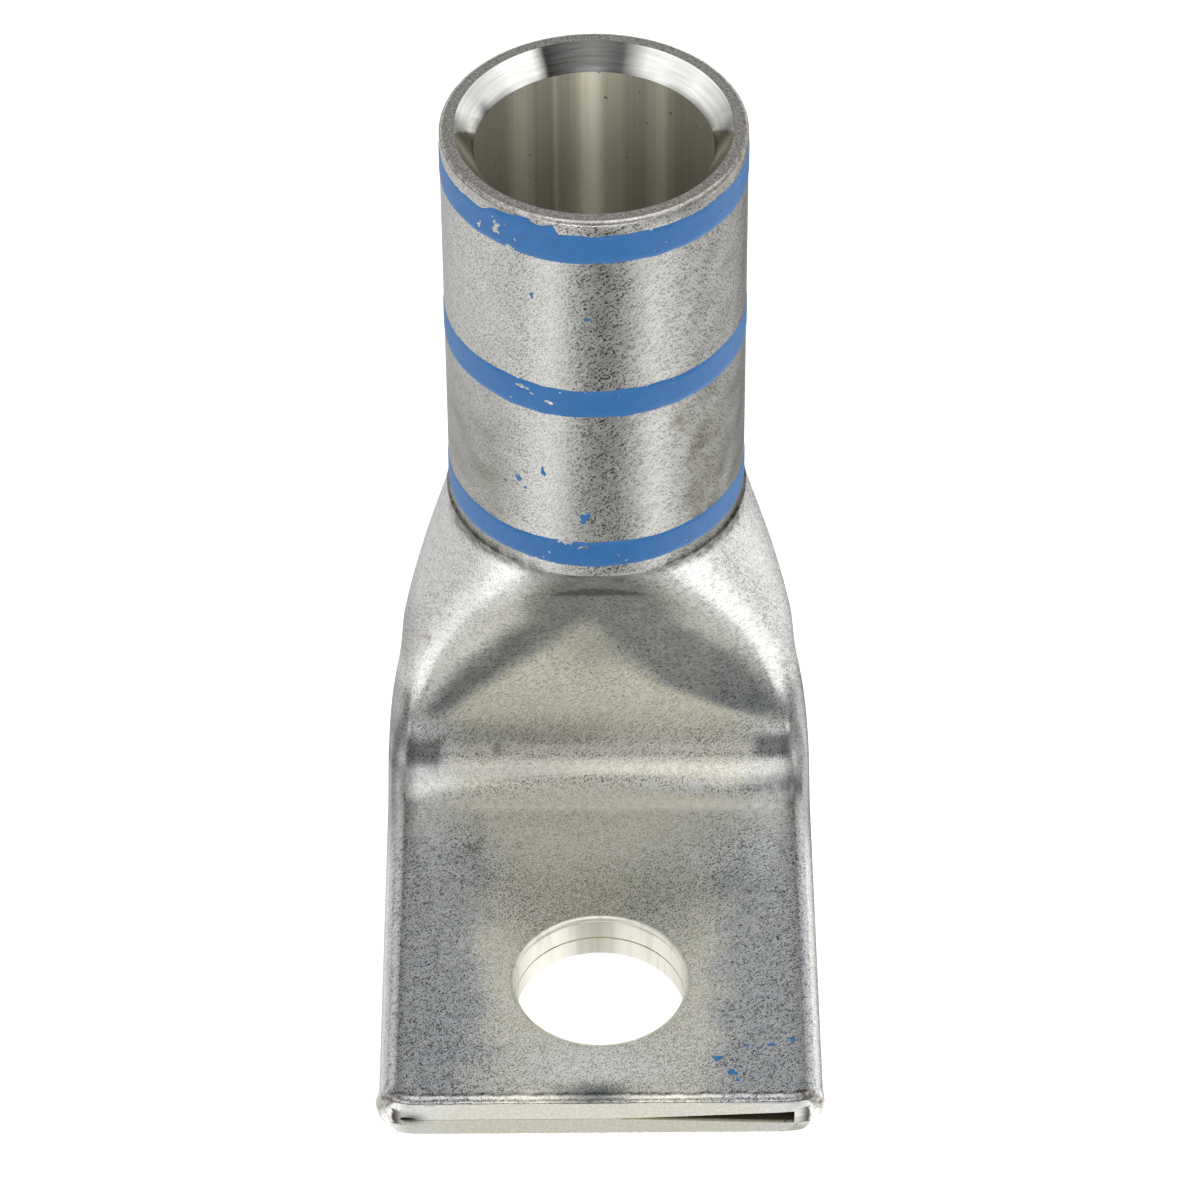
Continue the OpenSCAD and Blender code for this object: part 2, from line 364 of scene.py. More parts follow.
# The layers gape at the right of the free end: the seam's half height grows evenly with x, and fades over a
# depth. There the fold is closed further in, so the inside stops short of the right side. At the left the
# seam is pinched to a hairline.
seamPart = innerPoints[:len(seamRows)]
seamX = seamPart[..., 0]
nearEnd = 1 - ease(seamPart[..., 1], endY, endY + lug["gapeDepth"])
away = np.sign(seamPart[..., 2] - halfThick + 1e-9 * sideN)
gape = lug["gapeHalf"] * np.clip((seamX - lug["gapeFrom"]) / (lug["gapeTo"] - lug["gapeFrom"]), 0, 1)
hairline = lug["hairline"] * (1 - ease(np.abs(seamX), 14.5, 15.5)) * (seamX < lug["gapeFrom"] + 0.5)
rise = np.maximum(np.abs(seamPart[..., 2] - halfThick) - hairline * nearEnd, gape * nearEnd)
seamX -= lug["gapeDrawIn"] * ease(seamX, 14.6, hollowX + lug["hollowR"]) * nearEnd

# At the left the hollow of the fold is pinched nearly shut over the last of the palm
pinch = ease(-seamX, 14.8, 16.6) * (1 - ease(seamPart[..., 1], endY, endY + 2.5))
rise *= 1 - lug["hollowPinch"] * pinch
seamX += lug["hollowShift"] * pinch
seamPart[..., 2] = halfThick + away * rise - lug["gapeDrop"] * nearEnd

# The fold ends flare a little where the tube was cut off, more at the left than at the right
flare = 1 - ease(outerPoints[..., 1], endY + 0.4, endY + 3)
flare *= (outerPoints[..., 2] < lug["palmThick"] + 0.2) * ease(np.abs(outerPoints[..., 0]), 15.5, 18)
rightFlare = lug["rightFlareShare"] * lug["endFlare"]
outerPoints[..., 0] += np.where(outerPoints[..., 0] < 0, -lug["endFlare"], rightFlare) * flare

# Between outside and inside, the end face runs straight from the rounded outer edge to the seam
faceShare = np.array([0.06, 0.2, 0.35, 0.5, 0.65, 0.8, 0.93])[:, None, None]
facePoints = outerPoints[-1] + (innerPoints[0] - outerPoints[-1]) * faceShare
points = np.concatenate([outerPoints, facePoints, innerPoints])


# How far the rounded fold ends fall back behind the cut face: it grows with the square of the way outwards
def domeAt(wide):
    return lug["domeDepth"] * np.clip((wide - lug["domeFrom"]) / (halfWide - lug["domeFrom"]), 0, 1) ** 2


points[..., 1] += domeAt(np.abs(points[..., 0])) * (1 - ease(points[..., 1], endY, endY + 4))

# The upper edge of the cut is a little wavy
upperEdge = bell(points[..., 1], endY, 0.8) * bell(points[..., 2], lug["palmThick"] - 0.2, 0.5)
points[..., 2] += lug["upperEdgeWave"] * wander(points, 1.8, 51) * upperEdge
print("lug grid", points.shape)

# Finish of each row of faces: tin outside, then the sawn end, bore, countersink and lip
finishNames = ["satinTin", "drawnBore", "turnedCountersink", "sawnLip", "punchedWall", "sawnEnd"]
finishes = {name: bpy.data.materials.new(name) for name in finishNames}
rowFinish = np.zeros(len(points), int)
firstBore = len(outerPoints) + len(facePoints)
rowFinish[len(outerPoints) - 1:firstBore] = finishNames.index("sawnEnd")
firstLip = len(points) - len(lipRadius)
firstCountersink = firstLip - len(countersinkRows)
rowFinish[firstBore:firstCountersink] = finishNames.index("drawnBore")
rowFinish[firstCountersink:firstLip] = finishNames.index("turnedCountersink")
rowFinish[firstLip:] = finishNames.index("sawnLip")
lugMesh = gridMesh("lug", points)
for finish in finishes.values():
    lugMesh.materials.append(finish)
lugMesh.polygons.foreach_set("material_index", np.repeat(rowFinish, points.shape[1]).astype(np.int32))
lugPiece = addPiece("lug", lugMesh)


# Cutter for the stud hole: the hole's radius between two rolled edges that open into the faces.
def holeCutter():
    roll = lug["holeRoll"]
    swing = np.radians(np.linspace(0, 90, 7))
    low = np.stack([lug["holeR"] + roll * (1 - np.sin(swing)), roll * (1 - np.cos(swing))], -1)
    high = np.stack([low[::-1, 0], lug["palmThick"] - low[::-1, 1]], -1)
    below = [[lug["holeR"] + roll, -0.5]]
    above = [[lug["holeR"] + roll, lug["palmThick"] + 0.5]]
    outline = np.concatenate([below, low, high, above])
    count = lug["holeColumns"]
    turns = np.arange(count) * 2 * np.pi / count
    rings = np.stack([outline[:, :1] * np.cos(turns), outline[:, :1] * np.sin(turns),
                      np.repeat(outline[:, 1:], count, 1)], -1)
    number = np.arange(len(outline) * count).reshape(-1, count)
    right = np.roll(number, -1, 1)
    quads = np.stack([number[:-1], right[:-1], right[1:], number[1:]], -1).reshape(-1, 4).tolist()
    mesh = bpy.data.meshes.new("holeCutter")
    caps = [number[0, ::-1].tolist(), number[-1].tolist()]
    mesh.from_pydata((rings.reshape(-1, 3) * mm).tolist(), [], quads + caps)
    mesh.update()
    for finish in finishes.values():
        mesh.materials.append(finish)
    wallFinish = np.full(len(mesh.polygons), finishNames.index("punchedWall"), np.int32)
    mesh.polygons.foreach_set("material_index", wallFinish)
    return addPiece("holeCutter", mesh)


cutter = holeCutter()
punch = lugPiece.modifiers.new("punch", "BOOLEAN")
punch.operation = "DIFFERENCE"
punch.solver = "EXACT"
punch.object = cutter
bpy.context.view_layer.update()
cutMesh = bpy.data.meshes.new_from_object(lugPiece.evaluated_get(bpy.context.evaluated_depsgraph_get()))
lugPiece.modifiers.clear()
lugPiece.data = cutMesh
bpy.data.objects.remove(cutter)
cutMesh.shade_smooth()
cutMesh.set_sharp_from_angle(angle=math.radians(37))
weighted = lugPiece.modifiers.new("weighted", "WEIGHTED_NORMAL")
weighted.keep_sharp = True

# Where the finish changes over the lug, and where light and shade are painted into its colour, at the
# mesh's
# points: tone multiplies the colour, matt is added to the roughness, worn is a share of brown and blotchy
# is how strongly the blotches show.
spot = np.empty(len(cutMesh.vertices) * 3)
cutMesh.vertices.foreach_get("co", spot)
spot = spot.reshape(-1, 3) / mm
x, y, z = spot.T
wide = np.abs(x)
fromAxis = np.hypot(x, y - barrelY)
onBarrel = z > barrelBase - 0.05
tone = np.ones((len(spot), 3))
matt = np.zeros(len(spot))


# Lays a colour over the tone where the mask is 1, and adds to the roughness there. It lays both real stains
# and painted shade.
def stainAndShade(mask, hexColour, roughen=0.0):
    tone[:] = tone * (1 - mask[:, None] * (1 - np.array(linear(hexColour)[:3])))
    matt[:] = matt + roughen * mask


# Painted shade on the ramp, standing for its dark reflections: a grey arch with a little added roughness,
# between an outer and an inner line at each side that run down from the crease to the ends of the bend. The
# right leg is the wider one.
archOut = np.interp(z, [10, 17, 25, 34], [15.4, 12.0, 6.4, 5.2])
archOut += (np.interp(z, [10, 18, 24, 34], [16.4, 13.0, 7.8, 5.8]) - archOut) * ease(x, -2, 2)
archIn = np.interp(z, [9, 13, 17, 22, 25, 29], [14.4, 10.8, 7.0, 2.8, 0, -4])
archIn += (np.interp(z, [9, 11, 14, 18, 21, 26], [15.6, 10.5, 5.4, 2.4, 0, -4]) - archIn) * ease(x, -2, 2)
blur = 1.1 + 0.11 * np.maximum(z - 10, 0)
archShade = ease(wide - archIn, -blur, blur) * (1 - ease(wide - archOut, -blur, 0.7 * blur))
archShade *= (y < barrelY) & ~onBarrel
archShade *= ease(z, 8.5, 11)
archShade = np.clip(archShade * (0.95 + 0.08 * wander(spot, 2.5, 21)), 0, 1)
stainAndShade(archShade, "#A0A4A7", 0.08)
# More painted shade over the left leg of the arch
stainAndShade(0.35 * archShade * ease(-x, 1, 5), "#A8AAAC")

# Outside the arch the shoulders were rubbed matt, and carry painted shade that darkens them towards the
# fold, most at the left
shoulder = ease(wide - archOut, -0.5, 1.5) * ease(z, 12, 17) * ~onBarrel
matt += 0.14 * shoulder
shade = 0.34 * ease(wide - archOut, 1.5, 5) + 0.25 * ease(wide, 14, 17) * (1 - ease(z, 20, 28)) - 0.18
shade = np.where(x < 0, shade, 0.07 + 0.22 * ease(wide, 15.5, 17.5))
tone *= 1 - (shade * shoulder)[:, None]
# Painted shade on the outer sides of the folds near the bend
foldSideShade = ease(wide, 15.6, 16.6) * ease(y, 13, 22) * (1 - ease(z, 12, 15)) * (z > 0.5)
stainAndShade(0.9 * foldSideShade, "#BABABC")

# Painted shade: the back below the barrel is darker all over, to tone down its bright reflections
backShade = ease(y, barrelY + 0.5, barrelY + 2.5) * (1 - ease(z, barrelBase - 4, barrelBase))
tone *= 1 - 0.22 * backShade[:, None]

# Painted shade between the legs of the arch, and in two bands across the bend that are darker at its left
stainAndShade(bell(z, 20, 4) * bell(x, 0.5, 4.5) * (y < barrelY) * (1 - archShade), "#C8CACC")
stainAndShade((0.2 + 0.8 * ease(-x, -7, 4)) * bell(z, 8.0, 1.5) * (y > 20) * (y < barrelY), "#D2D3D6")
stainAndShade((0.3 + 0.7 * ease(-x, -3, 9)) * bell(z, 5.45, 0.5) * (y > 20) * (y < barrelY), "#D0D1D4")

# Painted shade on the barrel, standing for its dark reflections: darker at its right side, low down at
# both, in a strip at the front and evenly at the back
around = np.degrees(np.arctan2(x, barrelY - y))
low = 1 - ease(z, 42, 62)
barrelShade = 0.17 + ease(around, 20, 44) * (0.46 + 0.26 * low) + ease(-around, 24, 44) * (0.16 + 0.42 * low)
barrelShade += (0.3 - 0.18 * low) * bell(around, 3, 8)
barrelShade += (0.3 - barrelShade) * ease(np.abs(around), 86, 125)
barrelShade *= onBarrel * (fromAxis > barrelR - 0.2)
stainAndShade(np.clip(barrelShade * (1 + 0.15 * wander(spot, 2.5, 26)), 0, 1), "#8A8880")

# Painted shade in the crease under the lowest band, where the press stopped, with added roughness: broad
# at both sides, thin at the front
creaseShade = bell(z, barrelBase - 0.3, 0.7) * ease(np.abs(around), 14, 32) * (1 - ease(np.abs(around), 66, 84))
creaseShade += 0.8 * bell(z, barrelBase - 0.4, 0.3) * bell(around, -8, 7)
creaseShade = np.clip(creaseShade * (1 + 0.5 * wander(spot, 0.9, 22)) * (fromAxis > lug["boreR"] + 1), 0, 1)
stainAndShade(creaseShade, "#A3A29E", 0.2)

# Painted shade on the sides of the palm: mottled blue grey, in blotches about two millimetres wide
palmTop = (z > lug["palmThick"] - 0.6) & (z < lug["palmThick"] + 0.6) & (y < lug["holeToBend"])
palmSideShade = ease(wide + 1.2 * wander(spot, 5, 23), 7.5, 12.5) * (1 - ease(y, 15, 20)) * palmTop
stainAndShade(np.clip(palmSideShade * (0.9 + 0.12 * wander(spot, 1.8, 24)), 0, 1), "#D2D5D9")
frontPatch = bell(x, -0.4, 3.0) * bell(y, endY + 0.6, 1.3) * palmTop
stainAndShade(frontPatch, "#8A9098")

# Painted highlight on the palm behind the hole, more at the right, and in front of it, with a little added
# roughness
palmHighlight = ease(y, 10, 16) * (0.5 + 0.5 * ease(x, -4, 9)) * (z > 4.3) * (z < 5.0) * (1 - ease(wide, 14, 16))
palmHighlight += 0.9 * bell(x, -0.5, 5.5) * bell(y, -9.8, 3) * palmTop * (1 - frontPatch)
tone *= 1 + 0.36 * palmHighlight[:, None]
matt += 0.09 * palmHighlight

# Painted shade at the ends of the bend, standing for dark reflections: a bluish patch at the left and at
# the right, and a band along the start of the bend at the right
bendCornerShade = ease(x, -16.9, -16.3) * (1 - ease(x, -14.3, -13.1)) * ease(z, 5.5, 6.1) * (1 - ease(z, 7.0, 8.0))
bendCornerShade += ease(x, 12.9, 14.2) * (1 - ease(x, 16.2, 16.8)) * ease(z, 5.9, 6.5) * (1 - ease(z, 7.4, 8.4))
bendCornerShade += ease(x, 8, 15) * bell(y, 22.6 + 0.1 * (x - 12), 0.35 + 0.08 * np.clip(x - 6, 0, 10)) * (z < 5.6)
bendCornerShade *= 1 + 0.15 * wander(spot, 0.8, 27)
inBend = np.hypot(y - lug["holeToBend"], z - bendZ) < lug["bendR"] + 0.6
stainAndShade(np.clip(bendCornerShade, 0, 1) * inBend, "#A2A4A7")

# Smaller marks, with place, radius, colour and added roughness: brown and grey spots, and one bright nick
marks = [
    ((6.5, 18.5, 50.6), 0.7, "#B49A7C", 0.1),
    ((-1.2, 17.2, 33.6), 0.7, "#7C6A60", 0.1),
    ((1.8, 17.4, 33.9), 0.8, "#6E6862", 0.1),
    ((-0.4, 20.5, 30.2), 0.5, "#A08878", 0.1),
    ((-10.3, 16.7, 4.6), 0.6, "#FFFFFF", -0.08),
    ((-10.9, 15.6, 4.6), 0.8, "#C8C4BC", 0.05),
    ((-14.5, 25.5, 20.5), 0.5, "#B89C88", 0.1),
    ((-13.2, 24.6, 24.0), 0.5, "#B89C88", 0.1),
    ((-8.8, 25.6, 6.9), 0.5, "#8C8884", 0.05),
    ((-7.0, 16.0, 4.6), 0.5, "#A29E94", 0.05),
]
for place, radius, colour, roughen in marks:
    away = np.linalg.norm(spot - np.array(place), axis=1) / radius + 0.35 * wander(spot, 0.8, 31)
    stainAndShade(0.6 * (1 - ease(away, 0.4, 1.3)), colour, roughen)

# Worn brown edges: both coined edges, the upper edge of the free end and the rim
ragged = 0.12 * wander(spot, 1.2, 25)
coined = bell(wide, halfWide - lug["coin"] - foldR + 0.82 + ragged, 0.24)
coined *= (y < bendMid + 24) & (z < bendZ + 2) & (z > halfThick)
fromFace = y - endY - domeAt(wide)
endEdge = bell(fromFace, 0.62 + ragged, 0.13) * (z > lug["palmThick"] - 0.4)
endEdge += bell(fromFace, 0, 0.15) * bell(z, lug["palmThick"] - 0.46, 0.1)
endEdge += 0.8 * bell(fromFace, 0.3, 0.25) * ease(wide, 15.5, 16.5)
rimEdge = bell(z, mouthZ - 0.12, 0.3) * bell(fromAxis, barrelR - 0.1, 0.3)
worn = np.clip(0.35 * coined + 1.3 * endEdge + 0.8 * rimEdge, 0, 1.5)

# The edge of the bending die left a fine rough line along its ridge
dieLine = bell(y, lug["holeToBend"] - 0.75, 0.32) * ease(x, -13, -9) * (1 - ease(x, 14.5, 16.5)) * (z < 6)
dieLine *= 0.55 + 0.45 * chatterAt(x, y)
matt += 0.4 * dieLine
# Painted highlight: the colour along the die's line is made brighter
tone *= 1 + 0.5 * dieLine[:, None]

# The pressed middle of the ramp, the bend and the palm has a faint warm cast
warm = (y < barrelY) * (z < barrelBase) * (1 - archShade) * (1 - palmSideShade)
stainAndShade(warm * (1 - ease(wide, 11, 15)) * (1 - ease(wide - archOut, -2, 0.5)), "#FCFAF0")

# Rubbed bright: the fold ends and the roll of the stud hole
foldEnds = bell(wide, halfWide - 0.4, 0.9) * bell(y, endY, 1.2)
holeLip = bell(np.hypot(x, y), lug["holeR"] + 0.2, 0.4) * (z > 0.5)
matt -= 0.1 * np.clip(foldEnds + 0.7 * holeLip, 0, 1)

# On the cut face: bright smooth fold ends, a painted highlight right of the gape and painted shade in the
# dimple at the left
onFace = np.abs(fromFace) < 0.03
faceHighlight = onFace * ease(x + ragged, 15.7, 15.9) * (1 - ease(x + ragged, 17.3, 17.6)) * bell(z, 2.4, 1.1)
matt -= 0.24 * onFace * ease(wide, 15.2, 16.4) * (1 - faceHighlight)
tone *= 1 + 0.4 * faceHighlight[:, None]
stainAndShade(onFace * bell(x, -15.6, 0.9) * bell(z, 2.35, 0.6), "#8C8A86")

# The die's flat faces on the palm and in the bend are a little rougher than the tube
pressedFlat = (1 - ease(wide, foldX - 0.1, foldX + 0.4)) * (1 - ease(z, bendZ, bendZ + 4))
matt += 0.05 * pressedFlat

# Inside the barrel: painted shade, lighter towards the back, under painted reflections of strip lights,
# each strip by strength, degrees from the back and spread
inBore = (fromAxis < lug["boreR"] + 0.2) & (z > 30)
fromBack = np.degrees(np.arctan2(x, y - barrelY))
boreHighlights = [(1, -1.5, 7), (0.35, -38, 7), (0.3, 34, 6), (0.25, -19, 0.9), (0.2, 12, 3)]
strips = sum(strength * bell(fromBack, middle, spread) for strength, middle, spread in boreHighlights)
tone[inBore] *= (0.3 + 0.42 * bell(fromBack, 0, 42) + 1.15 * strips)[inBore, None]

# Painted shade on the countersink, standing for its dark reflections: at each side, and a wedge at the left
inCountersink = (fromAxis < lipR + 0.01) & (z > countersinkZ - 0.01)
stainAndShade(inCountersink * bell(np.abs(fromBack), 89, 9), "#A6A6A4")
stainAndShade(inCountersink * bell(fromBack, -63, 4) * (1 - ease(z, mouthZ - 1.9, mouthZ - 0.9)), "#8A8A8E")

# Painted shade inside the gape, with added roughness
gapeInside = (np.abs(z - halfThick) < 0.9) & (wide < hollowX + lug["hollowR"] + 0.05)
gapeInside = gapeInside & (np.hypot(x, y) > lug["holeR"] + 0.1) & (y < 20)
stainAndShade(gapeInside * ease(y, endY + 0.05, endY + 0.35), "#5A5650", 0.2)

# Where the blotches of the tin show most
onRamp = ease(z, 10, 14) * ~onBarrel
blotchy = np.clip(0.22 + 0.5 * archShade + creaseShade + 0.7 * palmSideShade + 0.1 * pressedFlat + 0.3 * onRamp, 0, 1)

layer = cutMesh.attributes.new("tone", "FLOAT_COLOR", "POINT")
layer.data.foreach_set("color", np.column_stack([tone, np.ones(len(spot))]).astype(np.float32).ravel())
for name, values in {"matt": matt, "worn": worn, "blotchy": blotchy}.items():
    layer = cutMesh.attributes.new(name, "FLOAT", "POINT")
    layer.data.foreach_set("value", values.astype(np.float32))
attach(lugPiece, "root")
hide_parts("lug_body")
print("lug made", len(cutMesh.polygons))


# Object coordinates in millimetres
def millimetres(tree):
    place = addNode(tree, "ShaderNodeTexCoord").outputs["Object"]
    return addNode(tree, "ShaderNodeVectorMath", {0: place, 1: (1 / mm,) * 3}, operation="MULTIPLY")


# Cloudy pattern with features of a size in millimetres, stretched from low and high to 0 and 1
def grain(tree, place, size, detail=2.0, low=0.3, high=0.7):
    noise = addNode(tree, "ShaderNodeTexNoise", {"Vector": place, "Scale": 1 / size, "Detail": detail})
    return addNode(tree, "ShaderNodeMapRange", {0: noise, 1: low, 2: high}, clamp=True)


# Fine straight scratches: a cloudy pattern drawn out along one direction, of which only the crests are kept
def scratches(tree, place, turned, width, length, low, high):
    laid = addNode(tree, "ShaderNodeMapping", {"Vector": place, "Rotation": turned}, vector_type="TEXTURE")
    stretch = (1 / width, 1 / length, 1 / width)
    drawn = addNode(tree, "ShaderNodeVectorMath", {0: laid, 1: stretch}, operation="MULTIPLY")
    return grain(tree, drawn, 1.0, 0.0, low, high)


# A start value plus patterns, each times its weight
def weighed(tree, start, *parts):
    total = start
    for part, weight in parts:
        total = addNode(tree, "ShaderNodeMath", {0: part, 1: weight, 2: total}, operation="MULTIPLY_ADD")
    return total


# One colour over another, by a share that a weight scales
def layered(tree, colour, over, share, weight=1.0, blend="MIX"):
    if weight != 1:
        share = addNode(tree, "ShaderNodeMath", {0: share, 1: weight}, operation="MULTIPLY", use_clamp=True)
    return addNode(tree, "ShaderNodeMix", {"Factor": share, "A": colour, "B": over}, data_type="RGBA",
                   blend_type=blend).outputs["Result"]


def emptyTree(material):
    material.use_nodes = True
    tree = material.node_tree
    tree.nodes.clear()
    return tree


# Colour times the tone at the mesh's points, relief in millimetres, and a metal or a paint below them
def finishTree(tree, colour, roughness, height, depth, metallic=1.0, toned=True):
    if toned:
        tones = addNode(tree, "ShaderNodeAttribute", attribute_name="tone")
        colour = layered(tree, colour, tones, 1.0, 1.0, "MULTIPLY")
    bump = addNode(tree, "ShaderNodeBump", {"Height": height, "Distance": depth * mm, "Strength": 1.0})
    shader = addNode(tree, "ShaderNodeBsdfPrincipled", {"Base Color": colour, "Roughness": roughness,
                                                        "Metallic": metallic, "Normal": bump})
    addNode(tree, "ShaderNodeOutputMaterial", {"Surface": shader})


# Tin plate on copper, dipped and then tumbled with other lugs: a soft grey shine, fine scratches of several
# lengths at all angles, cloudy blotches about half a millimetre wide, and brown where the edges are worn.
# Scratches and blotches are rougher than the rest, so they show light on dark and dark on light.
# Real scratches are some 0.03 mm wide. They are drawn 0.11 mm wide, or they would be lost in the picture.
tin = {
    "light": "#DDDBCF",
    "dark": "#64686C",
    "fleck": "#FFFFFF",
    "brown": "#6E5A48",
    "mottleSize": 0.5,
    "speckSize": 0.24,
    "cloudSize": 4.0,
    "roughness": 0.11,
    "mottleRoughness": 0.05,
    "scratchRoughness": 0.17,
    "scratchWidth": 0.11,
    "scratchLength": 0.65,  # of the shortest, and each further direction's are a third of this longer
    "scratchTurns": [(0.2, 0.1, 0.4), (1.1, 0.5, -0.9), (0.5, -1.2, 1.7), (2.0, 0.8, 0.9), (0.9, 0.2, 2.6)],
    "reliefDepth": 0.003,
}
tree = emptyTree(finishes["satinTin"])
place = millimetres(tree)
mottle = grain(tree, place, tin["mottleSize"], 3.0, 0.4, 0.66)
speck = grain(tree, place, tin["speckSize"], 1.0, 0.38, 0.66)
cloud = grain(tree, place, tin["cloudSize"], 3.0, 0.35, 0.65)
lines = None
for number, turned in enumerate(tin["scratchTurns"]):
    length = tin["scratchLength"] * (1 + number / 3)
    drawn = scratches(tree, place, turned, tin["scratchWidth"], length, 0.6, 0.67)
    if lines is not None:
        drawn = addNode(tree, "ShaderNodeMath", {0: lines, 1: drawn}, operation="MAXIMUM")
    lines = drawn
wornHere, mattHere, blotchyHere = (addNode(tree, "ShaderNodeAttribute", attribute_name=name).outputs["Fac"]
                                   for name in ("worn", "matt", "blotchy"))
patches = weighed(tree, 0.0, (mottle, 0.75), (speck, 0.35))
patches = addNode(tree, "ShaderNodeMath", {0: patches, 1: blotchyHere}, operation="MULTIPLY")
darker = weighed(tree, 0.0, (patches, 1.0), (cloud, 0.08))
browner = weighed(tree, 0.0, (wornHere, weighed(tree, 0.35, (mottle, 0.45))))
colour = layered(tree, linear(tin["light"]), linear(tin["dark"]), darker)
colour = layered(tree, colour, linear(tin["fleck"]), lines)
colour = layered(tree, colour, linear(tin["brown"]), browner)
roughness = weighed(tree, tin["roughness"], (mottle, tin["mottleRoughness"]), (mattHere, 1.0),
                    (lines, tin["scratchRoughness"]))
relief = weighed(tree, 0.0, (speck, 0.7), (mottle, 0.8), (lines, 1.1))
finishTree(tree, colour, roughness, relief, tin["reliefDepth"])

# Bore as it was drawn over a plug: smooth olive grey with faint lines along it. Little light gets down the
# tube, so it is drawn paler and less metallic than it is.
bore = {"colour": "#FFFBE4", "dark": "#D6D0B8", "pit": "#6A6858", "roughness": 0.32, "metallic": 0.12}
tree = emptyTree(finishes["drawnBore"])
place = millimetres(tree)
streaks = scratches(tree, place, (math.pi / 2, 0, 0), 0.35, 60, 0.35, 0.65)
pits = grain(tree, place, 0.5, 0.0, 0.8, 0.86)
colour = layered(tree, linear(bore["colour"]), linear(bore["dark"]), streaks, 0.3)
colour = layered(tree, colour, linear(bore["pit"]), pits, 0.8)
relief = weighed(tree, streaks, (grain(tree, place, 3.0), 0.3))
finishTree(tree, colour, bore["roughness"], relief, 0.001, bore["metallic"])

# Countersink cut with a tool that left fine rings: the brightest metal of the lug
countersink = {"colour": "#F2F2EE", "dark": "#C6C6C1", "roughness": 0.055}
tree = emptyTree(finishes["turnedCountersink"])
place = millimetres(tree)
flattened = addNode(tree, "ShaderNodeVectorMath", {0: place, 1: (0.25, 0.25, 5)}, operation="MULTIPLY")
rings = grain(tree, flattened, 1.0, 1.0)
colour = layered(tree, linear(countersink["colour"]), linear(countersink["dark"]), rings, 0.5)
relief = weighed(tree, rings, (grain(tree, place, 0.25, 1.0, 0.45, 0.75), 0.4))
finishTree(tree, colour, countersink["roughness"], relief, 0.0012)

# Mouth as it was sawn off: dull grey and grainy, with a brown worn outer edge
lip = {"colour": "#F8F6F0", "dark": "#93908A", "brown": "#A8917A", "roughness": 0.34}
tree = emptyTree(finishes["sawnLip"])
place = millimetres(tree)
mottle = grain(tree, place, 0.22, 2.0, 0.2, 0.7)
wornHere = addNode(tree, "ShaderNodeAttribute", attribute_name="worn").outputs["Fac"]
colour = layered(tree, linear(lip["colour"]), linear(lip["dark"]), mottle)
colour = layered(tree, colour, linear(lip["brown"]), wornHere, 0.8)
finishTree(tree, colour, lip["roughness"], mottle, 0.008)

# Free end as it was cut off: matt light grey with slanting tool lines, and painted shade on the lower layer
sawn = {"light": "#FFFFFC", "dark": "#CCCBC5", "lower": "#EAEAE6", "roughness": 0.4}
tree = emptyTree(finishes["sawnEnd"])
place = millimetres(tree)
lines = scratches(tree, place, (0, 0.9, 0), 0.16, 4, 0.45, 0.7)
speck = grain(tree, place, 0.3, 3.0)
height = addNode(tree, "ShaderNodeSeparateXYZ", {0: place}).outputs["Z"]
# Painted shade on the lower layer
lowerLayerShade = addNode(tree, "ShaderNodeMapRange", {0: height, 1: 2.3, 2: 2.1}, clamp=True)
toolMarks = addNode(tree, "ShaderNodeMath", {0: lines, 1: speck}, operation="MAXIMUM")
colour = layered(tree, linear(sawn["light"]), linear(sawn["dark"]), toolMarks, 0.5)
colour = layered(tree, colour, linear(sawn["lower"]), lowerLayerShade, 1.0, "MULTIPLY")
mattHere = addNode(tree, "ShaderNodeAttribute", attribute_name="matt").outputs["Fac"]
roughness = weighed(tree, sawn["roughness"], (mattHere, 1.0))
finishTree(tree, colour, roughness, weighed(tree, speck, (lines, 1.0)), 0.004)

# Wall of the punched hole: sheared bright, with streaks along the punch's travel
wall = {"light": "#F4F4F0", "dark": "#B8B8B2", "roughness": 0.36}
tree = emptyTree(finishes["punchedWall"])
place = millimetres(tree)
streaks = scratches(tree, place, (math.pi / 2, 0, 0), 0.6, 8, 0.5, 0.75)
colour = layered(tree, linear(wall["light"]), linear(wall["dark"]), streaks, 0.3)
finishTree(tree, colour, wall["roughness"], streaks, 0.003)
print("tin finishes made")


# Marking ink, one thin ring for each band. Its edges wander, and where ink is chipped off the ring dips
# below the tin.
inkBands = {
    "band_mouth": {"low": 68.69, "high": 71.45, "wander": 0.12, "seed": 3},
    "band_middle": {"low": 52.69, "high": 55.57, "wander": 0.09, "seed": 5},
    "band_base": {"low": 36.51, "high": 39.12, "wander": 0.09, "seed": 8},
}
ink = {"thick": 0.05, "sink": 0.12, "inset": 0.3, "rowsAcross": 30, "columnsAround": 900}
# Chips: band, azimuth in degrees from the front, height, half width and half height in mm
chips = [
    ("band_mouth", -39, 70.2, 0.5, 0.9),
    ("band_mouth", -47, 69.6, 0.35, 0.4),
    ("band_mouth", -33, 68.9, 0.5, 0.3),
    ("band_middle", -29, 54.8, 0.8, 0.22),
    ("band_middle", -25, 54.4, 0.25, 0.2),
    ("band_middle", -19, 53.95, 0.5, 0.2),
    ("band_middle", -17, 53.8, 0.2, 0.3),
    ("band_base", -12, 38.95, 0.7, 0.3),
    ("band_base", -6, 38.6, 0.5, 0.2),
    ("band_base", -20, 37.2, 0.3, 0.15),
    ("band_base", 11, 37.0, 0.25, 0.2),
]


